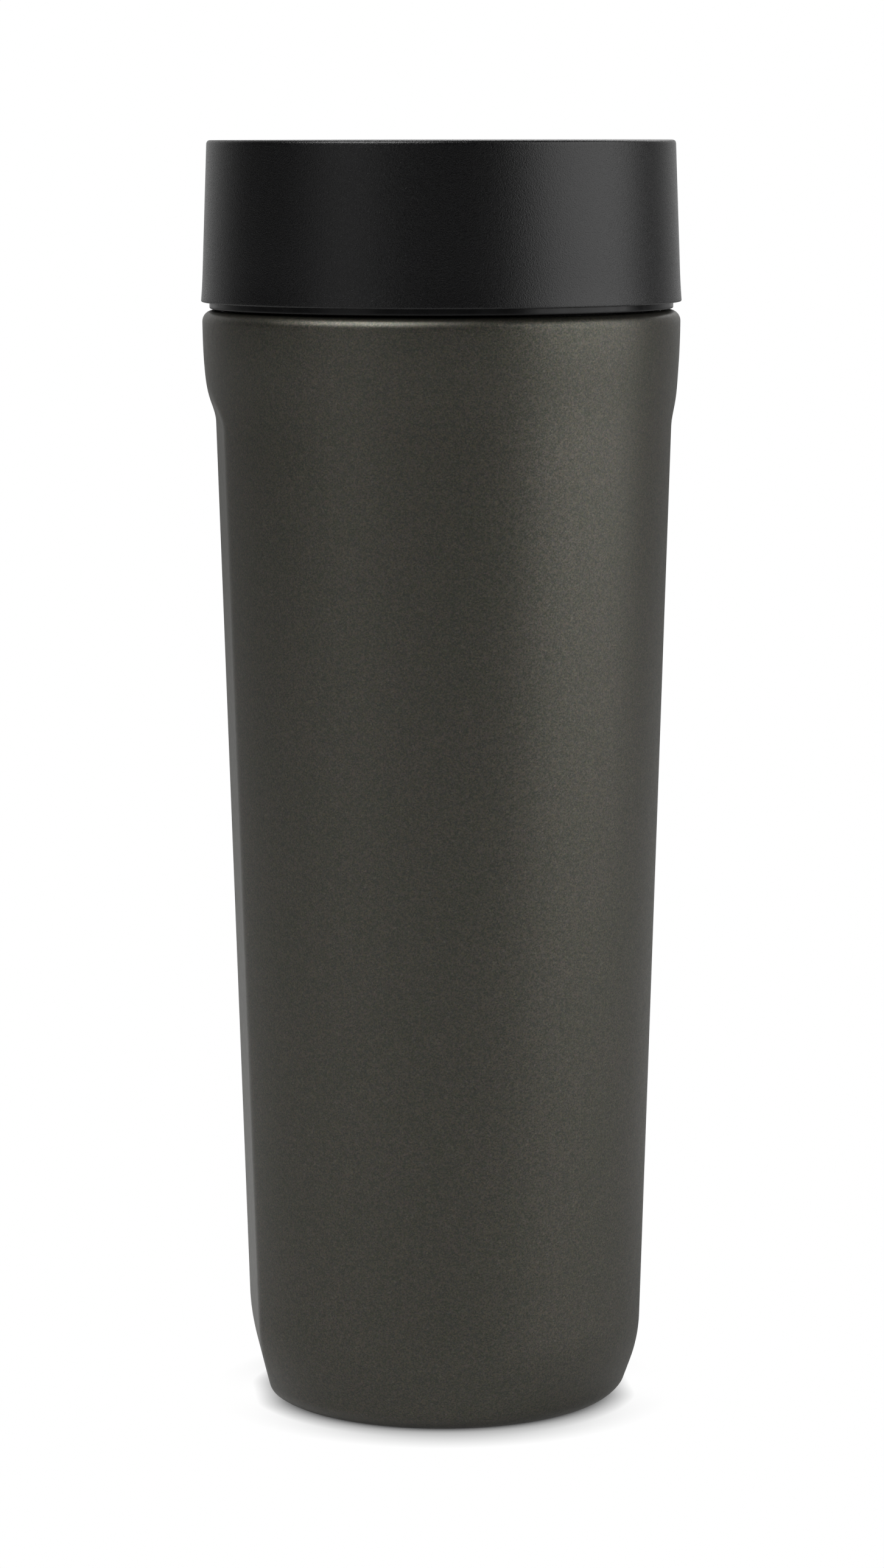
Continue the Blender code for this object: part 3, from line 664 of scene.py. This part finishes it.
def return_spring(look):
    """Coil spring with closed ends."""
    low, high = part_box("return_spring")
    half = SPRING_WIRE / 2
    radius = high.x - half
    bottom = low.z + half
    length = high.z - low.z - SPRING_WIRE
    steps = round(SPRING_STEPS * SPRING_TURNS)
    work = bmesh.new()
    rings = []
    for i in range(steps + 1):
        angle = 2 * pi * SPRING_TURNS * i / steps
        height = bottom + length * closed_ends(i / steps)
        from_tip = max(1 - min(i, steps - i) / SPRING_TIP_STEPS, 0.0)
        wire_r = half * max(sqrt(1 - from_tip**2), SPRING_TIP)
        ring = []
        for k in range(WIRE_FACETS):
            side = 2 * pi * k / WIRE_FACETS
            r = radius + wire_r * cos(side)
            ring.append(work.verts.new((r * cos(angle), r * sin(angle), height + wire_r * sin(side))))
        rings.append(ring)
    for ring, following in zip(rings, rings[1:]):
        for k in range(WIRE_FACETS):
            j = (k + 1) % WIRE_FACETS
            work.faces.new((ring[k], ring[j], following[j], following[k]))
    work.faces.new(rings[0])
    work.faces.new(rings[-1])
    bmesh.ops.recalc_face_normals(work, faces=work.faces)
    made = placed(linked("return_spring_fine", work), "return_spring", look)
    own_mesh(made)


def closed_ends(share):
    """Share of a spring's length at a share of its turns, with less pitch in the end turns."""
    end = SPRING_END_TURNS / SPRING_TURNS
    if share < end:
        return SPRING_END_RISE * share / end
    if share > 1 - end:
        return 1 - SPRING_END_RISE * (1 - share) / end
    middle = (share - end) / (1 - 2 * end)
    return SPRING_END_RISE + (1 - 2 * SPRING_END_RISE) * middle


# Materials


def add(tree, kind, inputs=None, out=0, **settings):
    """Adds a shader node, sets or links its inputs, and returns one of its outputs."""
    made = tree.nodes.new(f"ShaderNode{kind}")
    for key, value in settings.items():
        setattr(made, key, value)
    for key, value in (inputs or {}).items():
        if isinstance(value, bpy.types.NodeSocket):
            tree.links.new(value, made.inputs[key])
        else:
            made.inputs[key].default_value = value
    return made.outputs[out]


def between(tree, factor, low, high):
    """A number that goes from low to high as factor goes from 0 to 1."""
    return add(tree, "MapRange", {"Value": factor, "To Min": low, "To Max": high})


def two_tones(tree, factor, first, second):
    ramp = tree.nodes.new("ShaderNodeValToRGB")
    ramp.color_ramp.elements[0].color = (*first, 1.0)
    ramp.color_ramp.elements[1].color = (*second, 1.0)
    tree.links.new(factor, ramp.inputs["Fac"])
    return ramp.outputs["Color"]


def noise(tree, at, size, detail=2.0):
    """Noise whose patches are about this size, from 0.3 to 0.7 stretched to 0 to 1."""
    value = add(tree, "TexNoise", {"Vector": at, "Scale": 1 / size, "Detail": detail})
    return add(tree, "MapRange", {"Value": value, "From Min": 0.3, "From Max": 0.7})


def relief(tree, height, depth, normal=None):
    inputs = {"Height": height, "Distance": depth, "Strength": 1.0}
    if normal is not None:
        inputs["Normal"] = normal
    return add(tree, "Bump", inputs)


def material(name, metallic=0.0, **constants):
    made = bpy.data.materials.new(name)
    made.use_nodes = True
    tree = made.node_tree
    shader = tree.nodes["Principled BSDF"]
    shader.inputs["Metallic"].default_value = metallic
    for key, value in constants.items():
        shader.inputs[key.replace("_", " ")].default_value = value
    place = add(tree, "TexCoord", out="Object")
    return made, tree, shader.inputs, place


def wire(tree, shader, **sockets):
    for key, value in sockets.items():
        tree.links.new(value, shader[key.replace("_", " ")])


def times(colour, factor):
    return tuple(c * factor for c in colour)


def moulded(name, colour, roughness, grain, depth, **constants):
    """Plastic, rubber or glass: slight drift of tone, fine grain in tone, roughness and relief."""
    made, tree, shader, place = material(name, **constants)
    drift = noise(tree, place, MOULDED_DRIFT, detail=3.0)
    fine = noise(tree, place, grain)
    tone = two_tones(tree, drift, times(colour, 1 - MOULDED_TONE), times(colour, 1 + MOULDED_TONE))
    speck = between(tree, fine, 1 - MOULDED_GRAIN, 1 + MOULDED_GRAIN)
    scaled = add(tree, "VectorMath", {0: tone, "Scale": speck}, operation="SCALE")
    rough = between(tree, fine, roughness - MOULDED_ROUGH, roughness + MOULDED_ROUGH)
    wire(tree, shader, Base_Color=scaled, Roughness=rough, Normal=relief(tree, fine, depth))
    return made


def cells(tree, at, size):
    """A random colour for each cell of about this size."""
    return add(tree, "TexVoronoi", {"Vector": at, "Scale": 1 / size}, out="Color")


def flake_paint():
    """Clear-coated metallic paint: flakes of many tones and tilts, a few bright ones, orange peel."""
    coat = {"Coat_Weight": COAT_WEIGHT, "Coat_Roughness": COAT_ROUGHNESS}
    made, tree, shader, place = material("olive_graphite_paint", PAINT_METALLIC, **coat)
    flakes = cells(tree, place, FLAKE_SIZE)
    grains = cells(tree, place, SPARKLE_SIZE)
    tone = two_tones(tree, noise(tree, place, PAINT_DRIFT, detail=3.0), *PAINT_TONES)
    flake = add(tree, "SeparateColor", {"Color": flakes})
    body = between(tree, flake, 1 - FLAKE_CONTRAST, 1 + FLAKE_CONTRAST)
    grain = add(tree, "SeparateColor", {"Color": grains}, out=1)
    bright = add(tree, "MapRange", {"Value": grain, **SPARKLE})
    level = add(tree, "Math", {0: body, 1: bright}, operation="ADD")
    grey = add(tree, "VectorMath", {0: tone, "Scale": level}, operation="SCALE")
    hue = add(tree, "VectorMath", {0: flakes, 1: FLAKE_HUE, 2: FLAKE_HUE_LEAST}, operation="MULTIPLY_ADD")
    colour = add(tree, "VectorMath", {0: grey, 1: hue}, operation="MULTIPLY")
    rough = between(tree, noise(tree, place, PAINT_CLOUD), *PAINT_ROUGHNESS)
    centred = add(tree, "VectorMath", {0: flakes, 1: (0.5, 0.5, 0.5)}, operation="SUBTRACT")
    tilt = add(tree, "VectorMath", {0: centred, "Scale": FLAKE_TILT}, operation="SCALE")
    straight = add(tree, "NewGeometry", out="Normal")
    tilted = add(tree, "VectorMath", {0: straight, 1: tilt}, operation="ADD")
    normal = add(tree, "VectorMath", {0: tilted}, operation="NORMALIZE")
    peel = relief(tree, noise(tree, place, PEEL_SIZE, detail=1.0), PEEL_DEPTH, normal)
    wire(tree, shader, Base_Color=colour, Roughness=rough, Normal=peel)
    return made


def turned_metal(name, colour, roughness, line, depth):
    """Metal with fine lines round the Z axis, as a spun or turned surface has."""
    made, tree, shader, place = material(name, metallic=1.0)
    x, y, z = add(tree, "SeparateXYZ", {0: place}).node.outputs
    flat = add(tree, "CombineXYZ", {0: x, 1: y})
    radius = add(tree, "VectorMath", {0: flat}, operation="LENGTH", out="Value")
    around = add(tree, "VectorMath", {0: flat}, operation="NORMALIZE")
    arc = add(tree, "VectorMath", {0: around, "Scale": METAL_ARC}, operation="SCALE")
    rise = add(tree, "Math", {0: z, 1: 1 / line}, operation="MULTIPLY")
    out = add(tree, "Math", {0: radius, 1: 1 / line}, operation="MULTIPLY")
    lifted = add(tree, "CombineXYZ", {2: rise})
    at = add(tree, "VectorMath", {0: arc, 1: lifted}, operation="ADD")
    inputs = {"Vector": at, "W": out, "Scale": 1.0, "Detail": 2.0}
    lines = add(tree, "TexNoise", inputs, noise_dimensions="4D")
    low, high = METAL_TONES
    tone = two_tones(tree, noise(tree, place, METAL_DRIFT), times(colour, low), times(colour, high))
    shade = between(tree, lines, 1 - METAL_LINES, 1 + METAL_LINES)
    scaled = add(tree, "VectorMath", {0: tone, "Scale": shade}, operation="SCALE")
    rough = between(tree, lines, roughness - METAL_ROUGH, roughness + METAL_ROUGH)
    wire(tree, shader, Base_Color=scaled, Roughness=rough, Normal=relief(tree, lines, depth))
    return made


def pieces():
    black = moulded("matte_black_plastic", *MATTE_BLACK)
    gloss = moulded("gloss_black_plastic", *GLOSS_BLACK, Specular_IOR_Level=GLOSS_SPECULAR)
    grey = moulded("grey_plastic", *GREY_PLASTIC)
    white = moulded("white_acetal", *WHITE_ACETAL)
    silicone = moulded("grey_silicone", *SILICONE)
    glass = moulded("sealing_glass", *SEALING_GLASS)
    sintered = moulded("sintered_getter", *SINTERED)
    steel = turned_metal("satin_steel", *SATIN_STEEL)
    bright = turned_metal("bright_steel", *BRIGHT_STEEL)
    outer_shell(flake_paint())
    threaded("inner_liner", steel, NECK_R, NECK_THREAD_Z, -1)
    turned("base_plate", steel)
    turned("vacuum_seal", glass, SMALL_SEGMENTS, BEAD_CORNER)
    turned("getter_pan", steel, SMALL_SEGMENTS, PAN_CORNER)
    turned("getter_pellet", sintered, SMALL_SEGMENTS, PELLET_CORNER)
    turned("lid_gasket", silicone)
    turned("lid_shell", black, SHELL_SEGMENTS)
    threaded("lid_plug", gloss, PLUG_THREAD_R, PLUG_THREAD_Z, 1)
    turned("shell_seal", silicone)
    hub_spider(grey)
    cam_sleeve(white)
    turned("stem_seal", silicone, SMALL_SEGMENTS)
    turned("button_wiper", silicone, SMALL_SEGMENTS)
    turned("spring_seat", bright, SMALL_SEGMENTS, SMALL_CORNER)
    return_spring(bright)
    turned("button_cap", black, PIECE_SEGMENTS, BUTTON_CORNER)
    turned("valve_stem", grey, SMALL_SEGMENTS)
    turned("valve_disc", grey)
    turned("valve_seal", silicone)
    stem_screw(bright)
    cam_rotor(white)


# Studio


def around_camera(angle):
    """Level direction from the object, turned to the right of the camera's by this many degrees."""
    turn = radians(angle) - CAMERA_AZIMUTH
    return Vector((sin(turn), -cos(turn), 0.0))


def panel(name, angle, height, distance, width, tall, brightness):
    """A soft light that faces the object. Its mirror image has this brightness."""
    light = bpy.data.lights.new(name, "AREA")
    light.shape = "RECTANGLE"
    light.size = width
    light.size_y = tall
    light.energy = brightness * pi * width * tall
    made = bpy.data.objects.new(name, light)
    bpy.context.scene.collection.objects.link(made)
    made.location = around_camera(angle) * distance + Vector((0, 0, height))
    made.rotation_euler = (PANEL_AIM - made.location).to_track_quat("-Z", "Y").to_euler()
    made.visible_camera = False
    return made


def output(tree, kind, surface):
    """Adds the output node of a material or a world, and links its surface."""
    end = tree.nodes.new(f"ShaderNodeOutput{kind}")
    tree.links.new(surface, end.inputs["Surface"])


def studio():
    """Panels round the object, and a world that the camera sees white and that glows behind the object."""
    for name, values in PANELS.items():
        panel(name, *values)
    world = bpy.data.worlds.new("studio")
    world.use_nodes = True
    bpy.context.scene.world = world
    tree = world.node_tree
    tree.nodes.clear()
    direction = add(tree, "TexCoord", out="Generated")
    inputs = {0: direction, 1: around_camera(180)}
    facing = add(tree, "VectorMath", inputs, operation="DOT_PRODUCT", out="Value")
    level = add(tree, "MapRange", {"Value": facing, **BACK_GLOW})
    seen = add(tree, "LightPath", out="Is Camera Ray")
    strength = add(tree, "Mix", {0: seen, 2: level, 3: 1.0})
    output(tree, "World", add(tree, "Background", {"Color": WHITE, "Strength": strength}))


def floor_plane():
    """White floor. The camera sees it bright, with a soft shade where the foot meets it."""
    work = bmesh.new()
    bmesh.ops.create_circle(work, cap_ends=True, segments=FLOOR_SEGMENTS, radius=FLOOR_RADIUS)
    made = linked("floor", work)
    look = bpy.data.materials.new("white_floor")
    look.use_nodes = True
    tree = look.node_tree
    tree.nodes.clear()
    place = add(tree, "TexCoord", out="Object")
    outward = add(tree, "VectorMath", {0: place}, operation="NORMALIZE")
    aside = add(tree, "SeparateXYZ", {0: outward})
    sideways = add(tree, "Math", {0: aside, 1: aside}, operation="MULTIPLY")
    wide = add(tree, "AmbientOcclusion", {"Distance": SHADE_WIDE}, out="AO", samples=SHADE_SAMPLES)
    tight = add(tree, "AmbientOcclusion", {"Distance": SHADE_TIGHT}, out="AO", samples=SHADE_SAMPLES)
    near = add(tree, "Mix", {0: sideways, 2: wide, 3: tight})
    shade = add(tree, "Math", {0: near, 1: SHADE_POWER}, operation="POWER")
    shown = add(tree, "Emission", {"Color": WHITE, "Strength": shade})
    glow = add(tree, "Emission", {"Color": WHITE, "Strength": FLOOR_GLOW})
    matte = add(tree, "BsdfDiffuse", {"Color": (FLOOR_ALBEDO, FLOOR_ALBEDO, FLOOR_ALBEDO, 1.0)})
    bounce = add(tree, "AddShader", {0: matte, 1: glow})
    seen = add(tree, "LightPath", out="Is Camera Ray")
    output(tree, "Material", add(tree, "MixShader", {0: seen, 1: bounce, 2: shown}))
    made.data.materials.append(look)


def camera():
    data = bpy.data.cameras.new("camera")
    data.sensor_width = SENSOR
    data.lens = CAMERA_LENS
    data.clip_start = CLIP_START
    made = bpy.data.objects.new("camera", data)
    bpy.context.scene.collection.objects.link(made)
    place = around_camera(0) * CAMERA_DISTANCE + Vector((0, 0, CAMERA_HEIGHT))
    turn = Matrix.Rotation(-CAMERA_AZIMUTH, 4, "Z")
    tilt = Matrix.Rotation(pi / 2 - CAMERA_PITCH, 4, "X")
    roll = Matrix.Rotation(-CAMERA_ROLL, 4, "Z")
    made.matrix_world = Matrix.Translation(place) @ turn @ tilt @ roll
    bpy.context.scene.camera = made


pieces()
studio()
floor_plane()
camera()
bpy.context.scene.view_settings.view_transform = "Standard"
